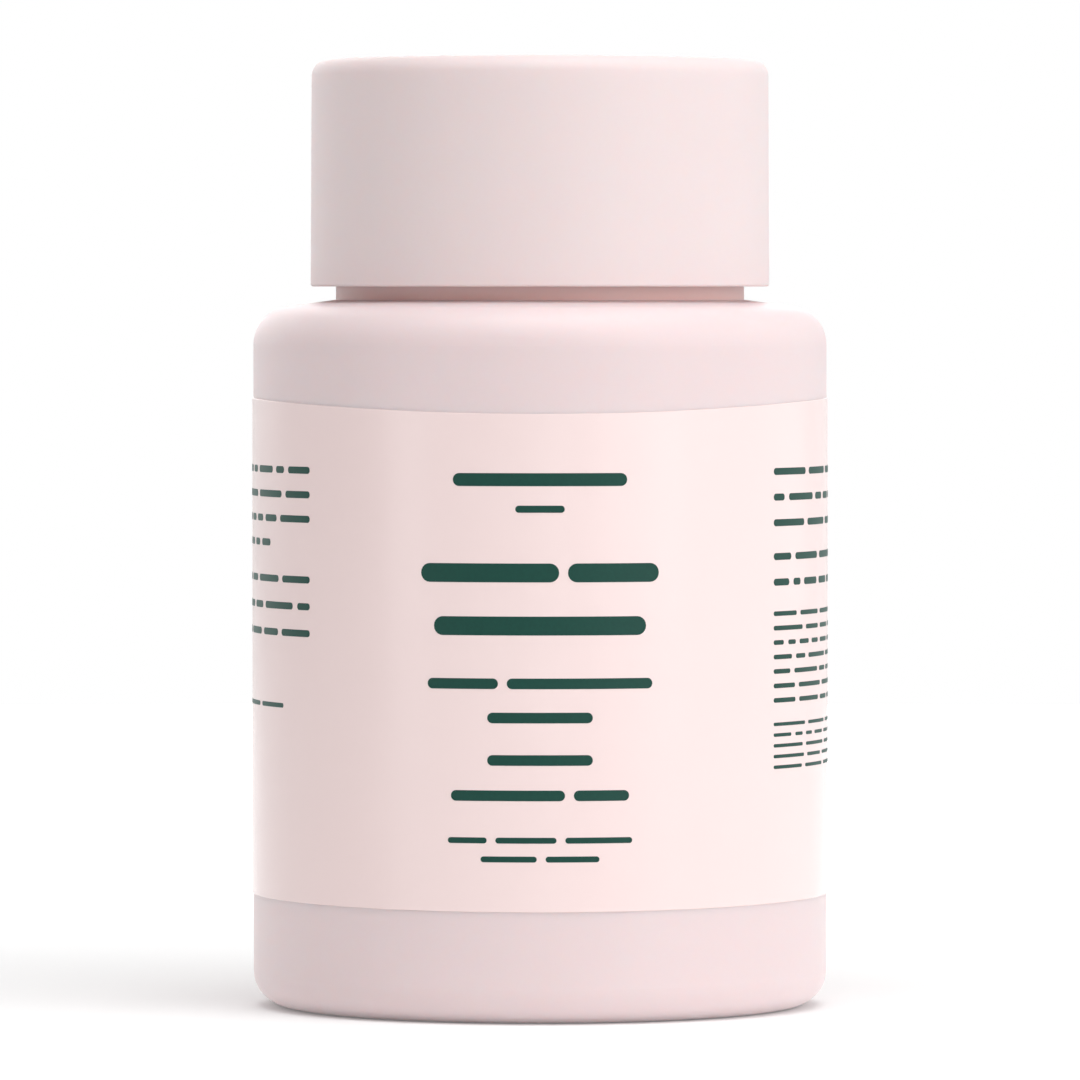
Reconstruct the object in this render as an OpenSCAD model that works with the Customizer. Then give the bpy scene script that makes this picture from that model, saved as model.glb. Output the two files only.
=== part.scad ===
// Nail polish remover sponge jar: a round screw-capped pot with a foam insert that takes a finger.
// The jar stands on the XY plane with its axis on Z, and the front of its label faces -Y.
// The cap is two mouldings: a smooth shell, and inside it a threaded closure with a sealing liner.
// Radii grow outwards from the mouth, and heights grow upwards from the foot.

/* [Jar body] */
// Outside diameter of the body
body_d = 50; // [46:0.5:60]
// Height at which the neck ring stands on the shoulder
body_h = 61.5; // [54:0.5:76]
// Wall thickness of the body
body_wall = 1.3; // [1:0.1:1.8]
// Thickness of the floor
floor_t = 2.4; // [2:0.1:3]
// Radius of the rounded edge at the foot
foot_r = 3; // [2.5:0.1:4.5]
// Radius of the rounded edge at the shoulder
shoulder_r = 3.4; // [2.6:0.1:5]
// Slope of the shoulder in degrees
shoulder_slope = 7.5; // [3:0.5:12]
// Width of the ring that the jar stands on
stand_w = 3.4; // [2:0.2:6]
// Depth of the recess inside the standing ring
recess_h = 0.9; // [0.4:0.1:1.1]

/* [Neck] */
// Diameter of the mouth
mouth_d = 29.2; // [27:0.2:30]
// Wall thickness of the neck
neck_wall = 1.45; // [1.3:0.05:1.7]
// Height of the neck from the shoulder to the rim
neck_h = 16; // [15:0.5:20]
// Height of the ring at the root of the neck
ring_h = 1.9; // [1.6:0.1:2.2]
// How far that ring stands out past the crest of the thread
ring_out = 0.7; // [0.5:0.05:0.8]
// Chamfer on the edges of the rim and the ring
rim_chamfer = 0.35; // [0.2:0.05:0.5]

/* [Thread] */
// Climb of the thread in one turn
pitch = 4.2; // [3.6:0.1:4.6]
// Depth of the thread
thread_depth = 1.05; // [0.9:0.05:1.2]
// Width of the thread at its root
thread_root_w = 2; // [1.8:0.1:2.2]
// Width of the thread at its crest
thread_crest_w = 0.9; // [0.7:0.1:1.1]
// Turns of thread on the neck
neck_turns = 1.5; // [1:0.25:1.75]
// Turns of thread in the closure
closure_turns = 1.25; // [1:0.25:1.5]
// Distance of the upper end of the neck's thread from the rim
thread_drop = 3.2; // [2.8:0.1:3.8]
// Length of the run-out at each end of a thread, in degrees
fade_angle = 40; // [20:5:60]

/* [Closure] */
// Wall thickness of the closure's skirt
closure_wall = 1; // [0.8:0.05:1.2]
// Thickness of the closure's roof
closure_roof = 1.2; // [1:0.1:1.6]
// Number of splines that lock the shell to the closure
spline_n = 24; // [18:1:30]
// Height of a spline above its wall
spline_h = 0.5; // [0.4:0.05:0.6]
// Thickness of the sealing liner
liner_t = 1; // [0.8:0.1:1.4]
// Height of the bead that keeps the liner in the closure
liner_bead_h = 0.35; // [0.3:0.05:0.5]

/* [Cap shell] */
// Wall thickness of the shell
shell_wall = 1.1; // [0.9:0.05:1.5]
// Thickness of the shell's roof
shell_roof = 1.3; // [1:0.1:1.8]
// Radius of the shell's upper edge
shell_edge_r = 1.4; // [0.8:0.1:1.6]
// Radius of the shell's lower edge
shell_lip_r = 0.25; // [0.15:0.05:0.35]
// Draft of the shell's outside in degrees
shell_draft = 0.3; // [0.1:0.1:0.6]
// Height of the snap bead that holds the closure in the shell
snap_h = 0.6; // [0.4:0.05:0.7]
// Open height between the shoulder and the shell
cap_gap = 1.15; // [0.9:0.05:1.4]
// Height of the ribs between the shell's roof and the closure
roof_rib_h = 1.4; // [1:0.1:2.4]
// Thickness of those ribs
roof_rib_w = 1; // [0.8:0.1:1.4]
// Diameter of the round rib among them
roof_ring_d = 20; // [14:0.5:26]
// Number of straight ribs round it
roof_rib_n = 6; // [4:1:8]

/* [Sponge] */
// Diameter of the finger hole
hole_d = 14; // [12:0.5:18]
// Radius of the soft edge round the hole's mouth
hole_flare_r = 3; // [2:0.5:4]
// Radius of the sponge's outer edges
sponge_edge_r = 2.4; // [2:0.1:3.5]
// How far the sponge's top lies below the shoulder's curve
sponge_drop = 5.6; // [4:0.2:12]
// Number of slits cut outwards from the hole
slit_n = 4; // [3:1:6]
// Reach of each slit from the hole's wall
slit_l = 6.5; // [4:0.5:9]
// Width of each slit
slit_w = 0.6; // [0.4:0.1:1]
// Depth of the slits
slit_h = 32; // [20:1:38]

/* [Label] */
// Thickness of the label film
label_t = 0.1; // [0.08:0.01:0.2]
// Height of the label's foot above the foot's rounded edge
label_rise = 6.8; // [4:0.2:10]
// Distance of the label's top below the shoulder's curve
label_drop = 4.6; // [3:0.2:8]
// Dip of the label's top edge at the front
label_top_dip = 1.1; // [0.1:0.05:1.5]
// Dip of the label's lower edge at the front
label_foot_dip = 0.2; // [0.1:0.05:1.5]
// Width of the gap where the label's ends meet at the back
label_seam = 2; // [1:0.2:6]
// Radius of the label's corners
label_corner_r = 2; // [1:0.2:4]

/* [Hidden] */
$fn = 96;

// Clearances between pieces
thread_clear = 0.2;
flank_clear = 0.15;
spline_clear = 0.1;
spline_side_clear = 0.2;
liner_clear = 0.2;
sponge_clear = 0.3;
label_glue = 0.02;
ring_clear = 0.3;
skirt_clear = 0.4;
snap_clear = 0.1;
overrun = 1;

// Share of the closure's wall that a thread's root is sunk into
thread_sink_share = 0.4;

// Radii, from the mouth outwards
mouth_r = mouth_d / 2;
neck_r = mouth_r + neck_wall;
crest_r = neck_r + thread_depth;
ring_r = crest_r + ring_out;
closure_bore_r = crest_r + thread_clear;
closure_crest_r = closure_bore_r - thread_depth;
closure_r = closure_bore_r + closure_wall;
spline_r = closure_r + spline_h;
shell_bore_r = spline_r + spline_clear;
shell_r = shell_bore_r + shell_wall;
snap_r = ring_r + ring_clear;
liner_r = closure_bore_r - liner_clear;
body_r = body_d / 2;
body_bore_r = body_r - body_wall;
sponge_r = body_bore_r - sponge_clear;
hole_r = hole_d / 2;
label_r = body_r + label_glue;
stand_r = body_r - foot_r;
recess_r = stand_r - stand_w;

// Heights, from the foot upwards
corner_x = body_r - shoulder_r;
slope_x = corner_x + shoulder_r * sin(shoulder_slope);
corner_z = body_h - (slope_x - ring_r) * tan(shoulder_slope) - shoulder_r * cos(shoulder_slope);
ring_z = body_h + ring_h;
rim_z = body_h + neck_h;
closure_z = ring_z + skirt_clear;
liner_z = rim_z;
closure_roof_z = liner_z + liner_t;
closure_top_z = closure_roof_z + closure_roof;
shell_z = body_h + cap_gap;
shell_roof_z = closure_top_z + roof_rib_h;
shell_top_z = shell_roof_z + shell_roof;
snap_z = closure_z - snap_clear;
spline_z = closure_z + spline_h;
sponge_top_z = corner_z - sponge_drop;
label_z = foot_r + label_rise;
label_top_z = corner_z - label_drop;
neck_thread_z = rim_z - thread_drop - neck_turns * pitch;

// The closure's thread lies under the neck's, flank to flank
thread_slope = (thread_root_w - thread_crest_w) / 2 / thread_depth;
flank_offset = (thread_root_w + thread_crest_w) / 2 - thread_slope * thread_clear + flank_clear;
thread_sink = thread_sink_share * closure_wall;
steps_per_turn = 48;

// Colours of the mouldings, the film and the foam
body_pink = "#e9d3d4";
cap_pink = "#ecd7d7";
film_pink = "#f6e2e0";
closure_white = "#f4f1ee";
liner_white = "#fbfbf9";
foam_pink = "#e8a9b2";

// Half section of a round block with rounded edges, whose side leans in by draft degrees
module rounded_section(r, low, high, low_r, high_r, draft) {
    low_x = r - low_r;
    low_z = low + low_r;
    high_z = high - high_r;
    high_x = low_x + (low_r - high_r - (high_z - low_z) * sin(draft)) / cos(draft);
    out = [cos(draft), sin(draft)];
    polygon([
        [0, low], [low_x, low], [low_x, low_z] + low_r * out,
        [high_x, high_z] + high_r * out, [high_x, high], [0, high]
    ]);
    translate([low_x, low_z]) circle(low_r);
    translate([high_x, high_z]) circle(high_r);
}

// Half section of the body up to its sloped shoulder, drawn in by inset on every side
module body_section(inset) {
    side = body_r - inset;
    low_r = foot_r - inset;
    high_r = shoulder_r - inset;
    slope = [corner_x + high_r * sin(shoulder_slope), corner_z + high_r * cos(shoulder_slope)];
    peak_z = slope[1] + slope[0] * tan(shoulder_slope);
    polygon([[0, foot_r], [side, foot_r], [side, corner_z], [corner_x, corner_z], slope, [0, peak_z]]);
    translate([0, inset]) square([stand_r, low_r]);
    translate([stand_r, foot_r]) circle(low_r);
    translate([corner_x, corner_z]) circle(high_r);
}

// Half section of the solid jar: the body, the ring at the neck's root, and the neck up to its rim
module jar_outside() {
    intersection() {
        body_section(0);
        square([body_r, body_h]);
    }
    polygon([
        [0, corner_z], [ring_r, corner_z], [ring_r, ring_z - rim_chamfer], [ring_r - rim_chamfer, ring_z],
        [neck_r, ring_z], [neck_r, rim_z - rim_chamfer], [neck_r - rim_chamfer, rim_z], [0, rim_z]
    ]);
}

// Half section of the space inside the jar, out through the mouth
module jar_inside() {
    flare = rim_chamfer + overrun;
    intersection() {
        body_section(body_wall);
        translate([0, floor_t]) square([body_r, body_h - body_wall - floor_t]);
    }
    polygon([
        [0, corner_z], [mouth_r, corner_z], [mouth_r, rim_z - rim_chamfer],
        [mouth_r + flare, rim_z + overrun], [0, rim_z + overrun]
    ]);
}

// Half section of the recess in the foot, with a sloped side
module jar_recess() {
    polygon([
        [0, -overrun], [recess_r + overrun, -overrun], [recess_r - recess_h, recess_h], [0, recess_h]
    ]);
}

// One ring of four points across a thread, at a share of its full height
function thread_ring(wall_r, out, angle, z, share) =
    let (
        buried_r = wall_r - out * thread_sink,
        buried_w = thread_root_w / 2 + thread_slope * thread_sink,
        top_r = wall_r - out * thread_sink / 2 + out * (thread_depth + thread_sink / 2) * share,
        top_w = buried_w - thread_slope * abs(top_r - buried_r)
    )
    [for (p = [[buried_r, -buried_w], [top_r, -top_w], [top_r, top_w], [buried_r, buried_w]])
        [p[0] * cos(angle), p[0] * sin(angle), z + p[1]]];

// A helical thread that rises from z on a wall, and stands outwards (out = 1) or inwards (out = -1)
module thread(wall_r, out, z, turns) {
    steps = round(turns * steps_per_turn);
    sweep = 360 * turns;
    points = [for (i = [0:steps])
        let (angle = sweep * i / steps, run = min(angle, sweep - angle, fade_angle) / fade_angle)
        each thread_ring(wall_r, out, angle, z + pitch * angle / 360, sin(90 * run))];
    sides = [for (i = [0:steps - 1], k = [0:3])
        let (a = 4 * i + k, b = 4 * i + (k + 1) % 4)
        each [[a, a + 4, b + 4], [a, b + 4, b]]];
    last = 4 * steps;
    ends = [[0, 1, 2], [0, 2, 3], [last, last + 2, last + 1], [last, last + 3, last + 2]];
    faces = [for (f = concat(sides, ends)) out < 0 ? f : [f[2], f[1], f[0]]];
    polyhedron(points, faces);
}

// Straight splines that stand on a wall, turned on by a share of their spacing
module splines(r, out, turn_share) {
    root = closure_wall / 2;
    width = PI * r / spline_n - spline_side_clear;
    for (i = [0:spline_n - 1])
        rotate(360 / spline_n * (i + turn_share))
            translate([r + out * (spline_h - root) / 2, 0])
                square([spline_h + root, width], center = true);
}

// The moulded jar: rounded foot, sloped shoulder, neck ring, threaded neck and open mouth
module jar_body() {
    color(body_pink) {
        rotate_extrude() difference() {
            jar_outside();
            jar_inside();
            jar_recess();
        }
        thread(neck_r, 1, neck_thread_z, neck_turns);
    }
}

// The foam insert: a soft-edged block that stands on the floor, with a finger hole and slits
module finger_sponge() {
    color(foam_pink) difference() {
        rotate_extrude() difference() {
            rounded_section(sponge_r, floor_t, sponge_top_z, sponge_edge_r, sponge_edge_r, 0);
            square([hole_r, sponge_top_z + overrun]);
            translate([0, sponge_top_z - hole_flare_r]) difference() {
                square([hole_r + hole_flare_r, hole_flare_r + overrun]);
                translate([hole_r + hole_flare_r, 0]) circle(hole_flare_r);
            }
        }
        for (i = [0:slit_n - 1])
            rotate(360 / slit_n * (i + 0.5))
                translate([0, -slit_w / 2, sponge_top_z - slit_h])
                    cube([hole_r + slit_l, slit_w, slit_h + overrun]);
    }
}

// Radius of an arc that dips by sag between the two sides of the label
function dip_r(sag) = (label_r ^ 2 + sag ^ 2) / (2 * sag);

// Outline of the label seen from the front, with its two edges dipping
module label_front() {
    difference() {
        intersection() {
            translate([-body_d, label_z - label_foot_dip]) square([2 * body_d, body_h]);
            translate([0, label_z - label_foot_dip + dip_r(label_foot_dip)]) circle(dip_r(label_foot_dip));
        }
        translate([0, label_top_z - label_top_dip + dip_r(label_top_dip)]) circle(dip_r(label_top_dip));
    }
}

// Outline of the label seen from the back, as two flaps with rounded corners beside the seam
module label_back() {
    flap_w = body_d - label_seam / 2;
    for (side = [0, 1]) mirror([side, 0]) translate([label_seam / 2, 0]) difference() {
        translate([0, label_z]) square([flap_w, label_top_z - label_z]);
        for (end = [label_z, label_top_z])
            translate([0, end]) mirror([0, end == label_z ? 0 : 1]) difference() {
                square([label_corner_r, label_corner_r]);
                translate([label_corner_r, label_corner_r]) circle(label_corner_r);
            }
    }
}

// The film label, wrapped round the body with its ends meeting at the back
module wrap_label() {
    low = label_z - label_foot_dip;
    color(film_pink) intersection() {
        rotate_extrude() translate([label_r, low]) square([label_t, label_top_z - low]);
        union() {
            rotate([90, 0, 0]) linear_extrude(height = body_d) label_front();
            mirror([0, 1, 0]) rotate([90, 0, 0]) linear_extrude(height = body_d) label_back();
        }
    }
}

// Half section of a shallow bead that stands out of a wall, with its flat side at z
module bead_section(wall_r, out, rise, h, z) {
    root = out * closure_wall / 2;
    polygon([
        [wall_r - root, z], [wall_r + out * rise, z], [wall_r + out * rise, z - h / 2],
        [wall_r, z - h], [wall_r - root, z - h]
    ]);
}

// The smooth outer shell, with ribs under its roof, splines on its wall and a snap bead at its foot
module cap_shell() {
    rib_h = roof_rib_h + shell_roof / 2;
    color(cap_pink) {
        rotate_extrude() {
            difference() {
                rounded_section(shell_r, shell_z, shell_top_z, shell_lip_r, shell_edge_r, shell_draft);
                square([shell_bore_r, shell_roof_z]);
            }
            bead_section(shell_bore_r, -1, shell_bore_r - snap_r, snap_h, snap_z);
            translate([(roof_ring_d - roof_rib_w) / 2, closure_top_z]) square([roof_rib_w, rib_h]);
        }
        translate([0, 0, spline_z])
            linear_extrude(height = shell_roof_z + shell_roof / 2 - spline_z) splines(shell_bore_r, -1, 0.5);
        for (i = [0:roof_rib_n - 1])
            rotate(360 / roof_rib_n * i)
                translate([roof_ring_d / 2, -roof_rib_w / 2, closure_top_z])
                    cube([shell_bore_r - roof_ring_d / 2 + shell_wall / 2, roof_rib_w, rib_h]);
    }
}

// The threaded closure inside the shell, with splines outside its skirt and a bead under the liner
module threaded_closure() {
    color(closure_white) {
        rotate_extrude() {
            difference() {
                translate([0, closure_z]) square([closure_r, closure_top_z - closure_z]);
                square([closure_bore_r, closure_roof_z]);
            }
            bead_section(closure_bore_r, -1, liner_bead_h, 2 * liner_bead_h, liner_z - snap_clear);
        }
        translate([0, 0, closure_z]) linear_extrude(height = closure_roof_z - closure_z)
            splines(closure_r, 1, 0);
        thread(closure_bore_r, -1, neck_thread_z - flank_offset, closure_turns);
    }
}

// The soft disc that the closure presses on the rim
module sealing_liner() {
    color(liner_white) translate([0, 0, liner_z]) cylinder(r = liner_r, h = liner_t);
}

jar_body();
finger_sponge();
wrap_label();
cap_shell();
threaded_closure();
sealing_liner();
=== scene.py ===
# Dip-in nail polish remover pot: a moulded jar, the foam plug inside it, its film label and a screw cap.
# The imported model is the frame, in metres: the jar stands on Z = 0 and the front of its label faces -Y.

import math
import random

import bmesh
import bpy
from mathutils import Matrix, Vector, noise


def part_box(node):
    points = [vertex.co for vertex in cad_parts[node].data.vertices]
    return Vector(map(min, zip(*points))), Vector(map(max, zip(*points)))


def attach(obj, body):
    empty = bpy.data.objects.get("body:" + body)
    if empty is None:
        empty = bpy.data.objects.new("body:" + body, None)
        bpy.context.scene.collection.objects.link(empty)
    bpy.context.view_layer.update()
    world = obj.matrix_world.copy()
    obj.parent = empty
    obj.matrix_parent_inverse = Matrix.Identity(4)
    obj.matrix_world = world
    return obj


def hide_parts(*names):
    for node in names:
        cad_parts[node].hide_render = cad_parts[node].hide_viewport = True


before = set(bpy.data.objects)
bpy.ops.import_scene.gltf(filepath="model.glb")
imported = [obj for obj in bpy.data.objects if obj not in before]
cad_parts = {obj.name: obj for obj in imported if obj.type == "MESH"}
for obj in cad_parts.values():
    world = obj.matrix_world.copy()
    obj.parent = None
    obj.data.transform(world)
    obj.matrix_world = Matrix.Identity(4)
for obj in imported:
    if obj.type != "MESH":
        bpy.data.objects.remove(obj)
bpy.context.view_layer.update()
MM = 0.001


# Moulded jar
# Pink polypropylene, tinted in the mass. Its neck and thread are injection moulded, and the body is
# blown from them in a split mould, so two fine parting lines run down its sides.
JAR_PINK = "#EEDCDD"
JAR_PINK_DEEP = "#EBD8D9"
# Painted shade: a deeper, warmer pink on the ring at the neck's root, where the gap under the cap is in
# shade.
JAR_PINK_GAP_SHADE = "#F1CAC3"
JAR_ROUGHNESS = 0.45
ROUGHNESS_SPREAD = 0.05
POLYPROPYLENE_IOR = 1.49
LIGHT_REACH = 1.2 * MM
FLOW_CLOUD = 18 * MM
# The real grain of a blasted mould is about 0.08 mm. It is drawn twice as coarse so that it shows.
MOULD_GRAIN = 0.16 * MM
MOULD_GRAIN_HEIGHT = 0.004 * MM
NECK_R = 16 * MM
NECK_ROOT = 61.5 * MM
NECK_ROOT_EDGE = 0.1 * MM
NECK_ROOT_REACH = 2.2 * MM
FOOT_SCUFF = 0.14
FOOT_SCUFF_HEIGHT = 0.5 * MM
PARTING_LINE_HALF_WIDTH = 0.07 * MM
PARTING_LINE_HEIGHT = 0.03 * MM


def linear(code):
    """Linear colour, with alpha, of an sRGB hex code."""
    shares = [int(code[i:i + 2], 16) / 255 for i in (1, 3, 5)]
    curve = [c / 12.92 if c <= 0.04045 else ((c + 0.055) / 1.055) ** 2.4 for c in shares]
    return (*curve, 1)


def add_node(tree, kind, inputs=None, **settings):
    """Add a node, set its properties, and fill its inputs with values or from other nodes' outputs."""
    node = tree.nodes.new(kind)
    for name, value in settings.items():
        setattr(node, name, value)
    for socket, value in (inputs or {}).items():
        if isinstance(value, bpy.types.NodeSocket):
            tree.links.new(value, node.inputs[socket])
        else:
            node.inputs[socket].default_value = value
    return node


def blank_material(name):
    """A material with an empty tree."""
    material = bpy.data.materials.new(name)
    material.use_nodes = True
    material.node_tree.nodes.clear()
    return material, material.node_tree


def blown_marks_and_shade(tree, coords, hue, dullness, surface):
    """Add a blown jar's marks and a painted shade at its neck's root to a plastic's colour, roughness and
    surface.
    """
    place = coords.outputs["Object"]
    split = add_node(tree, "ShaderNodeSeparateXYZ", {"Vector": place})
    # Painted shade: the ring at the neck's root is tinted deeper and warmer, for the shade in the gap under
    # the cap.
    above = add_node(tree, "ShaderNodeMapRange", {
        "Value": split.outputs["Z"], "From Min": NECK_ROOT - NECK_ROOT_EDGE,
        "From Max": NECK_ROOT + NECK_ROOT_EDGE, "To Min": 0.0, "To Max": 1.0,
    })
    fading = add_node(tree, "ShaderNodeMapRange", {
        "Value": split.outputs["Z"], "From Min": NECK_ROOT, "From Max": NECK_ROOT + NECK_ROOT_REACH,
        "To Min": 1.0, "To Max": 0.0,
    })
    across = add_node(tree, "ShaderNodeVectorMath", {0: place, 1: (1, 1, 0)}, operation="MULTIPLY")
    radius = add_node(tree, "ShaderNodeVectorMath", {0: across.outputs["Vector"]}, operation="LENGTH")
    outer = add_node(tree, "ShaderNodeMath", {
        0: radius.outputs["Value"], 1: NECK_R,
    }, operation="GREATER_THAN")
    level = add_node(tree, "ShaderNodeMath", {
        0: above.outputs["Result"], 1: fading.outputs["Result"],
    }, operation="MULTIPLY")
    ring_shade = add_node(tree, "ShaderNodeMath", {
        0: level.outputs[0], 1: outer.outputs[0],
    }, operation="MULTIPLY")
    hue = add_node(tree, "ShaderNodeMix", {
        "Factor": ring_shade.outputs[0], 6: hue, 7: linear(JAR_PINK_GAP_SHADE),
    }, data_type="RGBA").outputs["Result"]
    # The foot rubs on the shelf, so its lowest half millimetre is duller.
    rubbed = add_node(tree, "ShaderNodeMapRange", {
        "Value": split.outputs["Z"], "From Min": 0.0, "From Max": FOOT_SCUFF_HEIGHT,
        "To Min": FOOT_SCUFF, "To Max": 0.0,
    }, interpolation_type="SMOOTHSTEP")
    dullness = add_node(tree, "ShaderNodeMath", {
        0: dullness, 1: rubbed.outputs["Result"],
    }, operation="ADD").outputs[0]
    # The parting line is 1 at Y = 0, nothing past its half width, and only on faces that look outwards.
    beside = add_node(tree, "ShaderNodeMath", {0: split.outputs["Y"]}, operation="ABSOLUTE")
    line = add_node(tree, "ShaderNodeMapRange", {
        "Value": beside.outputs[0], "From Min": 0.0, "From Max": PARTING_LINE_HALF_WIDTH,
        "To Min": 1.0, "To Max": 0.0,
    }, interpolation_type="SMOOTHSTEP")
    facing = add_node(tree, "ShaderNodeSeparateXYZ", {"Vector": coords.outputs["Normal"]})
    outwards = add_node(tree, "ShaderNodeMath", {
        0: facing.outputs["X"], 1: split.outputs["X"],
    }, operation="MULTIPLY")
    outside = add_node(tree, "ShaderNodeMath", {0: outwards.outputs[0], 1: 0.0}, operation="GREATER_THAN")
    ridge = add_node(tree, "ShaderNodeMath", {
        0: line.outputs["Result"], 1: outside.outputs[0],
    }, operation="MULTIPLY")
    surface = add_node(tree, "ShaderNodeBump", {
        "Height": ridge.outputs[0], "Strength": 1.0, "Distance": PARTING_LINE_HEIGHT, "Normal": surface,
    }).outputs["Normal"]
    return hue, dullness, surface


def moulded_plastic(name, colour, deep, roughness, blown=False):
    """Tinted polypropylene from a blasted mould: even and milky, with faint flow clouds and a satin grain."""
    material, tree = blank_material(name)
    coords = add_node(tree, "ShaderNodeTexCoord")
    place = coords.outputs["Object"]
    cloud = add_node(tree, "ShaderNodeTexNoise", {"Vector": place, "Scale": 1 / FLOW_CLOUD, "Detail": 3})
    hue = add_node(tree, "ShaderNodeMix", {
        "Factor": cloud.outputs["Fac"], 6: linear(colour), 7: linear(deep),
    }, data_type="RGBA").outputs["Result"]
    grain = add_node(tree, "ShaderNodeTexNoise", {"Vector": place, "Scale": 1 / MOULD_GRAIN, "Detail": 2})
    dullness = add_node(tree, "ShaderNodeMapRange", {
        "Value": grain.outputs["Fac"], "To Min": roughness - ROUGHNESS_SPREAD,
        "To Max": roughness + ROUGHNESS_SPREAD,
    }).outputs["Result"]
    surface = add_node(tree, "ShaderNodeBump", {
        "Height": grain.outputs["Fac"], "Strength": 0.5, "Distance": MOULD_GRAIN_HEIGHT,
    }).outputs["Normal"]
    # A blown jar also gets parting lines, a duller foot and a painted shade at the neck's root.
    if blown:
        hue, dullness, surface = blown_marks_and_shade(tree, coords, hue, dullness, surface)
    shader = add_node(tree, "ShaderNodeBsdfPrincipled", {
        "Base Color": hue, "Roughness": dullness, "IOR": POLYPROPYLENE_IOR, "Normal": surface,
        "Subsurface Weight": 0.5, "Subsurface Scale": LIGHT_REACH, "Subsurface Radius": (1.0, 0.6, 0.5),
    })
    add_node(tree, "ShaderNodeOutputMaterial", {"Surface": shader.outputs[0]})
    return material


def finish(node, material):
    """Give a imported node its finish."""
    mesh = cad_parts[node].data
    mesh.materials.clear()
    mesh.materials.append(material)


finish("jar_body", moulded_plastic(
    "blown_pink_polypropylene", JAR_PINK, JAR_PINK_DEEP, JAR_ROUGHNESS, blown=True,
))


# Foam sponge
# Open-celled polyurethane foam, cut as a plug, bored for a fingertip and slit round the hole so that it
# gives way. It is pushed in through the neck and springs open against the jar's wall.
HOLE_R = 7 * MM
SPONGE_EDGE_R = 2.4 * MM
SPONGE_SETBACK = 0.1 * MM
HOLE_FLARE_R = 3 * MM
SLITS = 4
SLIT_END_R = 13.5 * MM
SLIT_WIDTH = 0.9 * MM
SLIT_END_WIDTH = 0.5 * MM
SLIT_DEPTH = 32 * MM
SLIT_OVERCUT = 1.5 * MM
KNIFE_ABOVE_TOP = 1 * MM
FOAM_GRID = 0.36 * MM
# The top and the mouth of the hole are what shows when the cap is off, so the grid is finer there.
FINE_DEPTH = 5 * MM
FINE_R = 19 * MM
# Real cells are about 0.5 mm. The mesh has them twice as coarse, so that they show in a picture, and the
# shading has them at their own size.
FOAM_CELL = 1.1 * MM
FOAM_PIT = 0.34 * MM
FOAM_PORE = 0.45 * MM
FOAM_PORE_HEIGHT = 0.15 * MM
FOAM_SWELL = 0.35 * MM
FOAM_SWELL_WAVE = 9 * MM
# Beyond this radius and below this height the jar holds the foam in, so it doesn't swell outwards.
HELD_R = 20 * MM
HELD_HEIGHT = 5 * MM
FOAM_PINK = "#FAD6DB"
# Painted shade: the darker pink down in the foam's pits and cells.
FOAM_PINK_SHADE = "#E6ABB6"


def turned(outline, steps):
    """Spin an outline of x, z and corner radius round Z, after its corners are rounded."""
    bm = bmesh.new()
    corners = [bm.verts.new((x, 0, z)) for x, z, radius in outline]
    bm.faces.new(corners)
    for corner, (_, _, radius) in zip(corners, outline):
        if radius:
            bmesh.ops.bevel(
                bm, geom=[corner], offset=radius, offset_type="OFFSET", segments=10, profile=0.5,
                affect="VERTICES", material=-1,
            )
    bmesh.ops.delete(bm, geom=bm.faces[:], context="FACES_ONLY")
    bmesh.ops.spin(
        bm, geom=bm.verts[:] + bm.edges[:], cent=(0, 0, 0), axis=(0, 0, 1), angle=math.tau, steps=steps,
        use_merge=True,
    )
    bmesh.ops.remove_doubles(bm, verts=bm.verts, dist=0.001 * MM)
    bmesh.ops.recalc_face_normals(bm, faces=bm.faces)
    return bm


def new_piece(name, bm, material=None, crease=180):
    """Turn a bmesh into an object at the origin, smooth but for edges sharper than the crease, in degrees."""
    mesh = bpy.data.meshes.new(name)
    bm.to_mesh(mesh)
    bm.free()
    mesh.shade_smooth()
    mesh.set_sharp_from_angle(angle=math.radians(crease))
    mesh.materials.append(material)
    piece = bpy.data.objects.new(name, mesh)
    bpy.context.scene.collection.objects.link(piece)
    return piece


def combine(piece, tool, operation):
    """Set a Boolean of a piece with a tool."""
    cut = piece.modifiers.new(operation.lower(), "BOOLEAN")
    cut.operation = operation
    cut.solver = "EXACT"
    cut.object = tool


def worked_mesh(piece, tool):
    """A bmesh of a piece with its modifiers applied. The piece and its tool are taken away."""
    bpy.context.view_layer.update()
    mesh = bpy.data.meshes.new_from_object(piece.evaluated_get(bpy.context.evaluated_depsgraph_get()))
    bpy.data.objects.remove(piece)
    bpy.data.objects.remove(tool)
    bm = bmesh.new()
    bm.from_mesh(mesh)
    return bm


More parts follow.
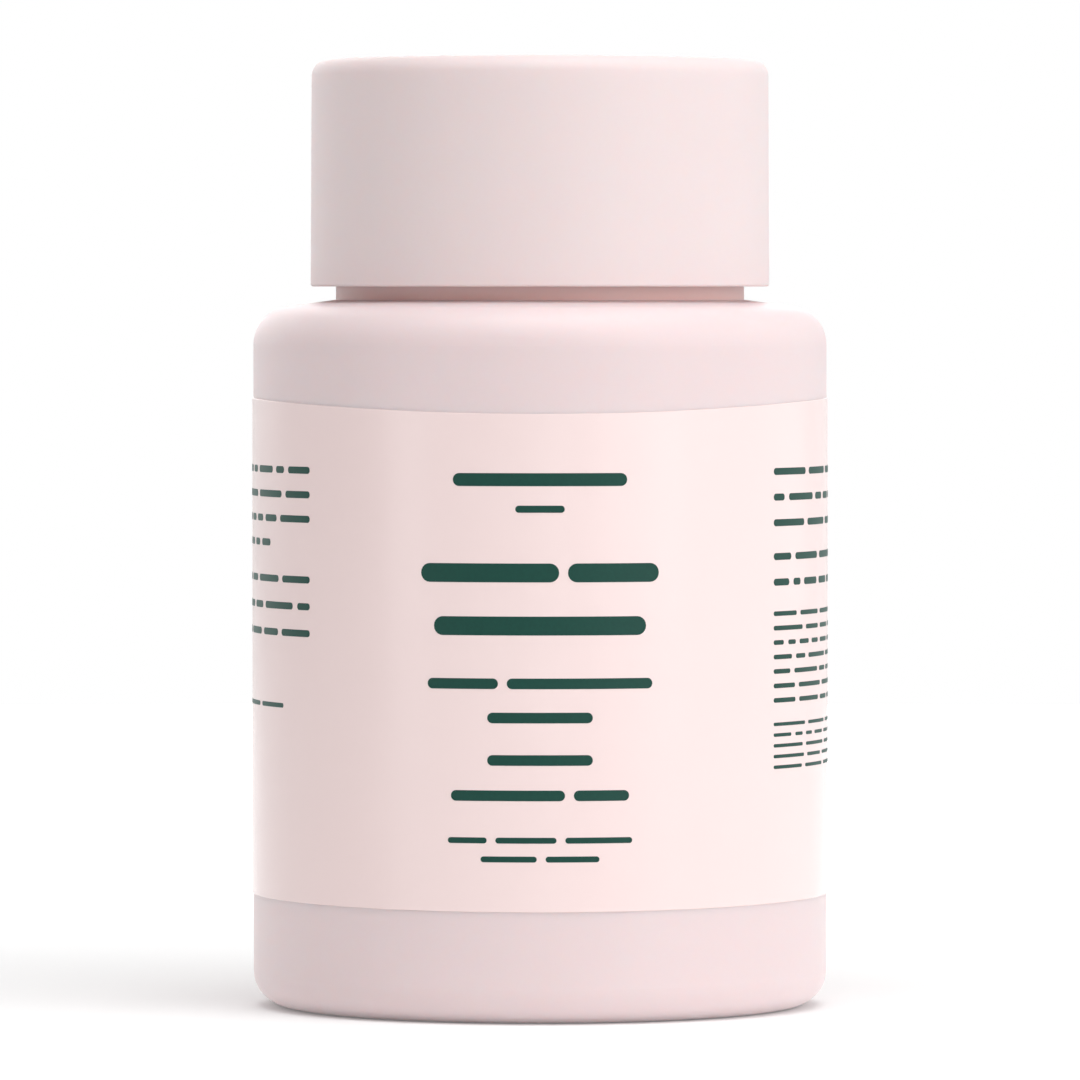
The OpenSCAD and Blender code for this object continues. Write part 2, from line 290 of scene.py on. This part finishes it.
def open_cell_foam():
    """Pink polyurethane foam: pale cell walls, painted shade down in the cells, and a soft fuzzy edge."""
    material, tree = blank_material("open_cell_polyurethane")
    place = add_node(tree, "ShaderNodeTexCoord").outputs["Object"]
    depth = add_node(tree, "ShaderNodeAttribute", attribute_name="cell_depth").outputs["Fac"]
    cells = add_node(tree, "ShaderNodeTexVoronoi", {"Vector": place, "Scale": 1 / FOAM_PORE})
    # Painted shade: the pits pressed into the mesh and the middles of the finer cells are coloured darker.
    holes = add_node(tree, "ShaderNodeMapRange", {
        "Value": cells.outputs["Distance"], "From Min": 0.15, "From Max": 0.5, "To Min": 0.55, "To Max": 0.0,
    })
    shade = add_node(tree, "ShaderNodeMath", {
        0: depth, 1: holes.outputs["Result"],
    }, operation="ADD", use_clamp=True)
    colour = add_node(tree, "ShaderNodeMix", {
        "Factor": shade.outputs[0], 6: linear(FOAM_PINK), 7: linear(FOAM_PINK_SHADE),
    }, data_type="RGBA")
    bump = add_node(tree, "ShaderNodeBump", {
        "Height": cells.outputs["Distance"], "Strength": 0.7, "Distance": FOAM_PORE_HEIGHT,
    })
    shader = add_node(tree, "ShaderNodeBsdfPrincipled", {
        "Base Color": colour.outputs["Result"], "Roughness": 0.85, "IOR": 1.45, "Sheen Weight": 0.25,
        "Sheen Roughness": 0.5, "Normal": bump.outputs["Normal"],
    })
    add_node(tree, "ShaderNodeOutputMaterial", {"Surface": shader.outputs[0]})
    return material


low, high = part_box("finger_sponge")
sponge_r = high.x - SPONGE_SETBACK
plug = new_piece("plug", turned([
    (HOLE_R, low.z, 0), (sponge_r, low.z, SPONGE_EDGE_R), (sponge_r, high.z, SPONGE_EDGE_R),
    (HOLE_R, high.z, HOLE_FLARE_R),
], 180))

bm = bmesh.new()
for i in range(SLITS):
    knife = bmesh.ops.create_cube(bm, size=1)["verts"]
    for vert in knife:
        outer = vert.co.x > 0
        vert.co.x = SLIT_END_R if outer else HOLE_R - SLIT_OVERCUT
        vert.co.y *= SLIT_END_WIDTH if outer else SLIT_WIDTH
        vert.co.z = high.z + KNIFE_ABOVE_TOP if vert.co.z > 0 else high.z - SLIT_DEPTH
    turn = Matrix.Rotation(math.tau * (i + 0.5) / SLITS, 3, "Z")
    bmesh.ops.rotate(bm, verts=knife, cent=(0, 0, 0), matrix=turn)
knives = new_piece("knives", bm)

combine(plug, knives, "DIFFERENCE")
regrid = plug.modifiers.new("grid", "REMESH")
regrid.mode = "VOXEL"
regrid.voxel_size = FOAM_GRID
bm = worked_mesh(plug, knives)
seen = [
    edge for edge in bm.edges
    if all(vert.co.z > high.z - FINE_DEPTH and vert.co.xy.length < FINE_R for vert in edge.verts)
]
bmesh.ops.subdivide_edges(bm, edges=seen, cuts=1, use_grid_fill=True)
bm.normal_update()
# Each vertex keeps how deep its pit is, for the painted shade in the foam's colour.
depth_layer = bm.verts.layers.float.new("cell_depth")
pushes = []
for vert in bm.verts:
    nearest = noise.voronoi(vert.co / FOAM_CELL)[0][0]
    pit = max(0.0, 1 - (nearest / 0.5) ** 2)
    vert[depth_layer] = pit
    swell = noise.noise(vert.co / FOAM_SWELL_WAVE) * FOAM_SWELL
    held = vert.co.xy.length > HELD_R or vert.co.z < HELD_HEIGHT
    swell = min(swell, 0.0) if held else swell
    pushes.append(vert.normal * (swell - pit * FOAM_PIT))
for vert, push in zip(bm.verts, pushes):
    vert.co += push
sponge = new_piece("foam_sponge", bm, open_cell_foam())
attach(sponge, "jar")
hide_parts("finger_sponge")


# Wrap label
# Polyethylene film with a matt varnish, printed flat, die-cut and rolled on with its own glue. Its edges
# dip at the front, between the foot and the shoulder, and its ends leave a narrow gap at the back.
FILM_THICKNESS = 0.08 * MM
FILM_CUT_EDGE = 0.06 * MM
FILM_TOP_DIP = 1.1 * MM
FILM_FOOT_DIP = 0.2 * MM
FILM_SEAM = 2 * MM
FILM_CORNER_R = 2 * MM
FILM_COLUMN = 0.75 * MM
# The film's face lies just inside the solid's, which leaves room for the ink on it.
INK_ROOM = 0.02 * MM
FILM_PINK = "#FCE7E5"
FILM_PINK_DEEP = "#FAE3E1"
FILM_CLOUD = 25 * MM
FILM_WAVE = 7 * MM
FILM_WAVE_HEIGHT = 0.05 * MM
FILM_ROUGHNESS = 0.24
FILM_ROUGHNESS_SPREAD = 0.06
# The real tooth of a matt varnish is a few hundredths of a millimetre. It is drawn coarser so that it shows.
FILM_TOOTH = 0.2 * MM
FILM_TOOTH_HEIGHT = 0.004 * MM


def edge_dip(angle, sag):
    """How far a label's edge has dropped at an angle from the front. It hangs in an arc between the sides."""
    if abs(angle) > math.pi / 2:
        return 0.0
    arc_r = (film_r ** 2 + sag ** 2) / (2 * sag)
    return sag - arc_r + math.sqrt(arc_r ** 2 - (film_r * math.sin(angle)) ** 2)


def wrap_round(bm):
    """Bend a flat sheet in the XZ plane round the jar, its -Y side outwards and Y = 0 at the film's face."""
    for vert in bm.verts:
        angle = vert.co.x / film_r
        reach = film_r - vert.co.y
        vert.co = (reach * math.sin(angle), -reach * math.cos(angle), vert.co.z)
    bmesh.ops.recalc_face_normals(bm, faces=bm.faces)


def varnished_film():
    """Matt-varnished film: very even, with a fine tooth and the faint waves of a label that was rolled on."""
    material, tree = blank_material("matt_varnished_film")
    place = add_node(tree, "ShaderNodeTexCoord").outputs["Object"]
    cloud = add_node(tree, "ShaderNodeTexNoise", {"Vector": place, "Scale": 1 / FILM_CLOUD, "Detail": 2})
    tint = add_node(tree, "ShaderNodeMix", {
        "Factor": cloud.outputs["Fac"], 6: linear(FILM_PINK), 7: linear(FILM_PINK_DEEP),
    }, data_type="RGBA")
    tooth = add_node(tree, "ShaderNodeTexNoise", {"Vector": place, "Scale": 1 / FILM_TOOTH, "Detail": 3})
    rough = add_node(tree, "ShaderNodeMapRange", {
        "Value": tooth.outputs["Fac"], "To Min": FILM_ROUGHNESS - FILM_ROUGHNESS_SPREAD,
        "To Max": FILM_ROUGHNESS + FILM_ROUGHNESS_SPREAD,
    })
    fine = add_node(tree, "ShaderNodeBump", {
        "Height": tooth.outputs["Fac"], "Strength": 0.4, "Distance": FILM_TOOTH_HEIGHT,
    })
    waves = add_node(tree, "ShaderNodeTexNoise", {"Vector": place, "Scale": 1 / FILM_WAVE, "Detail": 1})
    broad = add_node(tree, "ShaderNodeBump", {
        "Height": waves.outputs["Fac"], "Strength": 0.5, "Distance": FILM_WAVE_HEIGHT,
        "Normal": fine.outputs["Normal"],
    })
    shader = add_node(tree, "ShaderNodeBsdfPrincipled", {
        "Base Color": tint.outputs["Result"], "Roughness": rough.outputs["Result"], "IOR": 1.5,
        "Normal": broad.outputs["Normal"],
    })
    add_node(tree, "ShaderNodeOutputMaterial", {"Surface": shader.outputs[0]})
    return material


low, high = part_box("wrap_label")
film_r = high.x - INK_ROOM
film_end = math.pi * film_r - FILM_SEAM / 2
bm = bmesh.new()
corners = bmesh.ops.create_grid(bm, x_segments=1, y_segments=1, size=1)["verts"]
for corner in corners:
    end = film_end if corner.co.x > 0 else -film_end
    corner.co = (end, 0, high.z if corner.co.y > 0 else low.z + FILM_FOOT_DIP)
bmesh.ops.bevel(
    bm, geom=corners, offset=FILM_CORNER_R, offset_type="OFFSET", segments=8, profile=0.5, affect="VERTICES",
    material=-1,
)
columns = round(film_end / FILM_COLUMN)
for column in range(1 - columns, columns):
    bmesh.ops.bisect_plane(
        bm, geom=bm.verts[:] + bm.edges[:] + bm.faces[:], plane_co=(column * film_end / columns, 0, 0),
        plane_no=(1, 0, 0),
    )
for vert in bm.verts:
    upper = vert.co.z > (low.z + high.z) / 2
    vert.co.z -= edge_dip(vert.co.x / film_r, FILM_TOP_DIP if upper else FILM_FOOT_DIP)
back = bmesh.ops.extrude_face_region(bm, geom=bm.faces[:], use_keep_orig=True)["geom"]
bmesh.ops.translate(
    bm, verts=[v for v in back if isinstance(v, bmesh.types.BMVert)], vec=(0, FILM_THICKNESS, 0),
)
rim = [e for e in bm.edges if all(abs(v.co.y) < 0.001 * MM for v in e.verts) and e.calc_face_angle(0) > 1]
bmesh.ops.bevel(
    bm, geom=rim, offset=FILM_CUT_EDGE, offset_type="OFFSET", segments=2, profile=0.5, affect="EDGES",
    material=-1,
)
wrap_round(bm)
film = new_piece("label_film", bm, varnished_film(), crease=20)
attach(film, "jar")
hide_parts("wrap_label")


# Label print
# Rows of plain bars in one dark green ink, screen-printed on the film before the label is wrapped, so each
# bar bends round the jar with it.
INK_GREEN = "#053A31"
INK_GREEN_THIN = "#094238"
INK_THICKNESS = 0.015 * MM
INK_SUNK = 0.01 * MM
# A screen's mesh marks its ink about every 0.1 mm. The marks are drawn three times as coarse, to show.
INK_LAY = 0.3 * MM
# Gap between bars, and the shortest and longest bar of the side panels, in mm.
BAR_GAP = 0.75
SHORT_BAR = 1.4
LONG_BAR = 6.0
BAR_SEED = 7
# A cut that meets a bar's end leaves slivers narrower than this, in mm. They are merged away.
BAR_SLIVER = 0.002
# Front panel, from the top: height of a row above the table, thickness of its bars and their lengths, in mm.
FRONT_ROWS = [
    (46.3, 1.1, [15.0]),
    (43.8, 0.6, [4.2]),
    (38.4, 1.6, [12.0, 8.0]),
    (33.9, 1.6, [18.4]),
    (29.0, 0.9, [6.2, 12.6]),
    (26.1, 0.9, [9.0]),
    (22.5, 0.9, [9.0]),
    (19.5, 0.9, [9.8, 4.8]),
    (15.7, 0.5, [3.4, 5.2, 5.8]),
    (14.1, 0.5, [4.8, 4.6]),
]
# Blocks of the side panels: left end, right end, height of the first row, pitch, number of rows and
# thickness, in mm, and the share of the width that the last row fills. Zero is the middle of the front.
SIDE_BLOCKS = [
    (-58.0, -22.7, 46.9, 2.1, 4, 0.6, 0.8),
    (-58.0, -22.7, 37.5, 2.3, 3, 0.6, 1.0),
    (-58.0, -27.0, 26.6, 1.5, 2, 0.4, 0.6),
    (23.2, 58.0, 46.8, 2.2, 3, 0.6, 0.7),
    (23.2, 58.0, 39.5, 2.2, 2, 0.6, 0.8),
    (23.2, 58.0, 34.6, 1.24, 7, 0.4, 0.6),
    (23.2, 58.0, 25.1, 0.92, 5, 0.3, 0.5),
]


def print_bar(bm, left, height, length, thickness):
    """Lay one flat bar with round ends in the XZ plane, in mm."""
    size = Matrix.Diagonal((length, 1, thickness, 1))
    flat = Matrix.Rotation(math.pi / 2, 4, "X")
    spot = Matrix.Translation((left + length / 2, 0, height))
    verts = bmesh.ops.create_grid(
        bm, x_segments=1, y_segments=1, size=0.5, matrix=spot @ size @ flat,
    )["verts"]
    bmesh.ops.bevel(
        bm, geom=verts, offset=thickness * 0.49, offset_type="OFFSET", segments=5, profile=0.5,
        affect="VERTICES", material=-1,
    )


def dark_green_ink():
    """Screen ink: so full of pigment that it is dark and mirrors less than the varnish round it."""
    material, tree = blank_material("dark_green_screen_ink")
    place = add_node(tree, "ShaderNodeTexCoord").outputs["Object"]
    lay = add_node(tree, "ShaderNodeTexNoise", {"Vector": place, "Scale": 1 / INK_LAY, "Detail": 2})
    colour = add_node(tree, "ShaderNodeMix", {
        "Factor": lay.outputs["Fac"], 6: linear(INK_GREEN), 7: linear(INK_GREEN_THIN),
    }, data_type="RGBA")
    shader = add_node(tree, "ShaderNodeBsdfPrincipled", {
        "Base Color": colour.outputs["Result"], "Roughness": 0.5, "IOR": 1.5, "Specular IOR Level": 0.25,
    })
    add_node(tree, "ShaderNodeOutputMaterial", {"Surface": shader.outputs[0]})
    return material


bm = bmesh.new()
for height, thickness, lengths in FRONT_ROWS:
    left = -(sum(lengths) + BAR_GAP * (len(lengths) - 1)) / 2
    for length in lengths:
        print_bar(bm, left, height, length, thickness)
        left += length + BAR_GAP
chooser = random.Random(BAR_SEED)
for start, end, top, pitch, count, thickness, last_share in SIDE_BLOCKS:
    for row in range(count):
        width = (end - start) * (last_share if row == count - 1 else 1.0)
        lengths = []
        while sum(lengths) + BAR_GAP * len(lengths) < width:
            lengths.append(chooser.uniform(SHORT_BAR, LONG_BAR))
        fit = (width - BAR_GAP * (len(lengths) - 1)) / sum(lengths)
        left = start
        for length in lengths:
            print_bar(bm, left, top - row * pitch, length * fit, thickness)
            left += length * fit + BAR_GAP
# A cut every millimetre lets the bars bend with the film.
for cut in range(-60, 61):
    bmesh.ops.bisect_plane(
        bm, geom=bm.verts[:] + bm.edges[:] + bm.faces[:], plane_co=(cut, 0, 0), plane_no=(1, 0, 0),
    )
bmesh.ops.dissolve_degenerate(bm, dist=BAR_SLIVER, edges=bm.edges)
bmesh.ops.scale(bm, verts=bm.verts, vec=(MM, MM, MM))
bmesh.ops.translate(bm, verts=bm.verts, vec=(0, INK_SUNK, 0))
raised = bmesh.ops.extrude_face_region(bm, geom=bm.faces[:], use_keep_orig=True)["geom"]
bmesh.ops.translate(
    bm, verts=[v for v in raised if isinstance(v, bmesh.types.BMVert)],
    vec=(0, -INK_SUNK - INK_THICKNESS, 0),
)
wrap_round(bm)
print_piece = new_piece("label_print", bm, dark_green_ink(), crease=30)
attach(print_piece, "jar")


# Threaded closure
# White polypropylene, injection moulded with its thread, and unscrewed from the mould. It is seen only
# from below, when the cap is off.
CLOSURE_WHITE = "#EEEBE6"
CLOSURE_WHITE_DEEP = "#E9E5DF"
CLOSURE_ROUGHNESS = 0.4

finish("threaded_closure", moulded_plastic(
    "moulded_white_polypropylene", CLOSURE_WHITE, CLOSURE_WHITE_DEEP, CLOSURE_ROUGHNESS,
))


# Sealing liner
# A disc punched from foamed polyethylene sheet and snapped over the bead inside the closure.
LINER_WHITE = "#EFEDE7"
LINER_WHITE_WALL = "#F7F5F0"
LINER_ROUGHNESS = 0.6
LINER_CELL = 0.35 * MM
LINER_CELL_HEIGHT = 0.03 * MM


def foamed_sheet():
    """Foamed polyethylene: white, soft, and pebbled by its closed cells under the skin."""
    material, tree = blank_material("foamed_polyethylene")
    place = add_node(tree, "ShaderNodeTexCoord").outputs["Object"]
    cells = add_node(tree, "ShaderNodeTexVoronoi", {"Vector": place, "Scale": 1 / LINER_CELL})
    colour = add_node(tree, "ShaderNodeMix", {
        "Factor": cells.outputs["Distance"], 6: linear(LINER_WHITE), 7: linear(LINER_WHITE_WALL),
    }, data_type="RGBA")
    bump = add_node(tree, "ShaderNodeBump", {
        "Height": cells.outputs["Distance"], "Strength": 0.5, "Distance": LINER_CELL_HEIGHT,
    })
    shader = add_node(tree, "ShaderNodeBsdfPrincipled", {
        "Base Color": colour.outputs["Result"], "Roughness": LINER_ROUGHNESS, "IOR": 1.5,
        "Normal": bump.outputs["Normal"],
    })
    add_node(tree, "ShaderNodeOutputMaterial", {"Surface": shader.outputs[0]})
    return material


finish("sealing_liner", foamed_sheet())


# Cap shell
# The cap's smooth outer cup, injection moulded in the jar's pink. It is pressed over the splined closure
# until the bead at its foot snaps under, and the ribs under its roof bear on the closure.
SHELL_WALL = 1.1 * MM
SHELL_ROOF = 1.3 * MM
SHELL_EDGE_R = 1.4 * MM
SHELL_LIP_R = 0.25 * MM
SHELL_LEAN = 0.1 * MM
# Rings of edges next to the rounded ones keep the shading of the flat top and the straight wall even.
TOP_RING = 5 * MM
WALL_RING_HIGH = 2.4 * MM
WALL_RING_LOW = 0.8 * MM
SNAP_BEAD_RISE = 0.8 * MM
SNAP_BEAD_HEIGHT = 0.6 * MM
SNAP_BEAD_TOP = 1.05 * MM
ROOF_RIBS = 6
ROOF_RIB_HEIGHT = 1.4 * MM
ROOF_RIB_WIDTH = 1 * MM
ROOF_RING_R = 10 * MM
SHELL_SPLINES = 24
SPLINE_RISE = 0.5 * MM
SPLINE_WIDTH = 2.27 * MM
SPLINE_FOOT = 1.65 * MM
CAP_PINK = "#F0E0E0"
CAP_PINK_DEEP = "#EDDCDC"
CAP_ROUGHNESS = 0.55

low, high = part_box("cap_shell")
bore_r = high.x - SHELL_WALL
bead_r = bore_r - SNAP_BEAD_RISE
bead_z = low.z + SNAP_BEAD_TOP
roof_z = high.z - SHELL_ROOF
rib_z = roof_z - ROOF_RIB_HEIGHT
ring_out_r = ROOF_RING_R + ROOF_RIB_WIDTH / 2
ring_in_r = ROOF_RING_R - ROOF_RIB_WIDTH / 2
bm = turned([
    (0, high.z, 0), (high.x - TOP_RING, high.z, 0), (high.x - SHELL_LEAN, high.z, SHELL_EDGE_R),
    (high.x, low.z, SHELL_LIP_R), (bore_r, low.z, 0), (bore_r, bead_z - SNAP_BEAD_HEIGHT, 0),
    (bead_r, bead_z - SNAP_BEAD_HEIGHT / 2, 0), (bead_r, bead_z, 0), (bore_r, bead_z, 0),
    (bore_r, roof_z, 0), (ring_out_r, roof_z, 0), (ring_out_r, rib_z, 0), (ring_in_r, rib_z, 0),
    (ring_in_r, roof_z, 0), (0, roof_z, 0),
], 256)
for level in (low.z + WALL_RING_LOW, high.z - WALL_RING_HIGH):
    bmesh.ops.bisect_plane(
        bm, geom=bm.verts[:] + bm.edges[:] + bm.faces[:], plane_co=(0, 0, level), plane_no=(0, 0, 1),
    )
cup = new_piece("cup", bm)

bm = bmesh.new()
bars = [((i + 0.5) / SHELL_SPLINES, bore_r - SPLINE_RISE, SPLINE_WIDTH, low.z + SPLINE_FOOT)
        for i in range(SHELL_SPLINES)]
bars += [(i / ROOF_RIBS, ROOF_RING_R, ROOF_RIB_WIDTH, rib_z) for i in range(ROOF_RIBS)]
for share, start_r, width, foot in bars:
    length = bore_r + SHELL_WALL / 2 - start_r
    height = roof_z + SHELL_ROOF / 2 - foot
    spot = Matrix.Translation((start_r + length / 2, 0, foot + height / 2))
    size = Matrix.Diagonal((length, width, height, 1))
    bmesh.ops.create_cube(bm, size=1, matrix=Matrix.Rotation(math.tau * share, 4, "Z") @ spot @ size)
inside = new_piece("inside", bm)
combine(cup, inside, "UNION")
plastic = moulded_plastic("moulded_pink_polypropylene", CAP_PINK, CAP_PINK_DEEP, CAP_ROUGHNESS)
shell = new_piece("outer_shell", worked_mesh(cup, inside), plastic, crease=35)
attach(shell, "cap")
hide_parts("cap_shell")


# Studio
# A white sweep in a pale room, under a wide overhead light, with soft keys from the right and fills from
# the left, from behind and from low down. The eye is level with the cap's lower edge.
FOCAL_PIXELS = 9546
PICTURE_PIXELS = 1080
EYE_DISTANCE = 833 * MM
EYE_HEIGHT = 62.65 * MM
EYE_LEVEL_PIXEL = 286.5
ROOM_GLOW = 0.11
FLOOR_R = 600 * MM
FLOOR_DROP = 0.05 * MM
FLOOR_WHITE = "#F6F6F6"
FLOOR_GLOW = 0.62
SHADOW_REACH = 50 * MM
SHADOW_GLOW = 0.12


def soft_light(name, place, aim, size, power):
    """Add a square area light aimed at a point, with its size in metres and its power in watts."""
    lamp = bpy.data.lights.new(name, "AREA")
    lamp.size = size
    lamp.energy = power
    holder = bpy.data.objects.new(name, lamp)
    holder.visible_camera = False
    holder.location = place
    holder.rotation_euler = (Vector(aim) - Vector(place)).to_track_quat("-Z", "Y").to_euler()
    bpy.context.scene.collection.objects.link(holder)


def seen_rays(tree):
    """1 for a ray that shows the surroundings to the eye or in a reflection, and 0 for one that lights."""
    path = add_node(tree, "ShaderNodeLightPath")
    mirrored = add_node(tree, "ShaderNodeMath", {
        0: path.outputs["Is Glossy Ray"], 1: path.outputs["Is Transmission Ray"],
    }, operation="MAXIMUM")
    return add_node(tree, "ShaderNodeMath", {
        0: path.outputs["Is Camera Ray"], 1: mirrored.outputs[0],
    }, operation="MAXIMUM").outputs[0]


camera_data = bpy.data.cameras.new("camera")
camera_data.sensor_width = 36
camera_data.lens = FOCAL_PIXELS / PICTURE_PIXELS * camera_data.sensor_width
camera_data.clip_start = 0.01
camera = bpy.data.objects.new("camera", camera_data)
tilt = math.atan((PICTURE_PIXELS / 2 - EYE_LEVEL_PIXEL) / FOCAL_PIXELS)
camera.location = (0, -EYE_DISTANCE, EYE_HEIGHT)
camera.rotation_euler = (math.pi / 2 - tilt, 0, 0)
bpy.context.scene.collection.objects.link(camera)
bpy.context.scene.camera = camera

foot = (0, 0, 0)
middle = (0, 0, EYE_HEIGHT * 0.7)
soft_light("key", (0.80, -0.35, 0.30), middle, 0.7, 1.35)
soft_light("front_key", (0.62, -0.75, 0.35), middle, 0.7, 3.0)
soft_light("side_fill", (0.75, 0.25, 0.25), middle, 0.6, 0.7)
soft_light("overhead", (0.10, -0.20, 0.90), middle, 0.8, 5.8)
soft_light("overhead_fill", (-0.50, -0.30, 0.70), middle, 0.8, 1.1)
soft_light("left_fill", (-0.90, 0.10, 0.30), middle, 0.5, 0.2)
soft_light("low_front", (0.10, -1.00, 0.06), middle, 0.22, 0.15)
soft_light("low_left", (-0.80, -0.60, 0.06), foot, 0.3, 0.5)
soft_light("back_fill", (-0.10, 0.95, 0.45), middle, 0.7, 2.4)
soft_light("back_left", (-0.60, 0.65, 0.30), middle, 0.5, 0.9)

world = bpy.data.worlds.new("studio")
bpy.context.scene.world = world
world.use_nodes = True
tree = world.node_tree
tree.nodes.clear()
shown = seen_rays(tree)
room = add_node(tree, "ShaderNodeBackground", {"Color": linear("#FFFFFF"), "Strength": ROOM_GLOW})
white = add_node(tree, "ShaderNodeBackground", {"Color": linear("#FFFFFF"), "Strength": 1.0})
backdrop = add_node(tree, "ShaderNodeMixShader", {0: shown, 1: room.outputs[0], 2: white.outputs[0]})
add_node(tree, "ShaderNodeOutputWorld", {"Surface": backdrop.outputs[0]})

bm = bmesh.new()
bmesh.ops.create_circle(
    bm, cap_ends=True, segments=96, radius=FLOOR_R, matrix=Matrix.Translation((0, 0, -FLOOR_DROP)),
)
material, tree = blank_material("white_sweep")
matt = add_node(tree, "ShaderNodeBsdfDiffuse", {"Color": linear(FLOOR_WHITE)})
# To the eye the sweep glows more with its distance from the jar. It is white where the lamps leave it grey
# far out, and it keeps the soft shadow round the foot.
place = add_node(tree, "ShaderNodeTexCoord").outputs["Object"]
distance = add_node(tree, "ShaderNodeVectorMath", {0: place}, operation="LENGTH")
whitening = add_node(tree, "ShaderNodeMapRange", {
    "Value": distance.outputs["Value"], "From Min": SHADOW_REACH, "From Max": FLOOR_R / 2,
    "To Min": SHADOW_GLOW, "To Max": FLOOR_GLOW,
}, interpolation_type="SMOOTHSTEP")
straight = add_node(tree, "ShaderNodeLightPath").outputs["Is Camera Ray"]
strength = add_node(tree, "ShaderNodeMix", {
    "Factor": straight, 2: FLOOR_GLOW, 3: whitening.outputs["Result"],
})
glow = add_node(tree, "ShaderNodeEmission", {"Color": linear("#FFFFFF"), "Strength": strength.outputs[0]})
lit = add_node(tree, "ShaderNodeAddShader", {0: matt.outputs[0], 1: glow.outputs[0]})
surface = add_node(tree, "ShaderNodeMixShader", {0: seen_rays(tree), 1: matt.outputs[0], 2: lit.outputs[0]})
add_node(tree, "ShaderNodeOutputMaterial", {"Surface": surface.outputs[0]})
new_piece("floor", bm, material)

bpy.context.scene.view_settings.view_transform = "Standard"

bpy.context.view_layer.update()
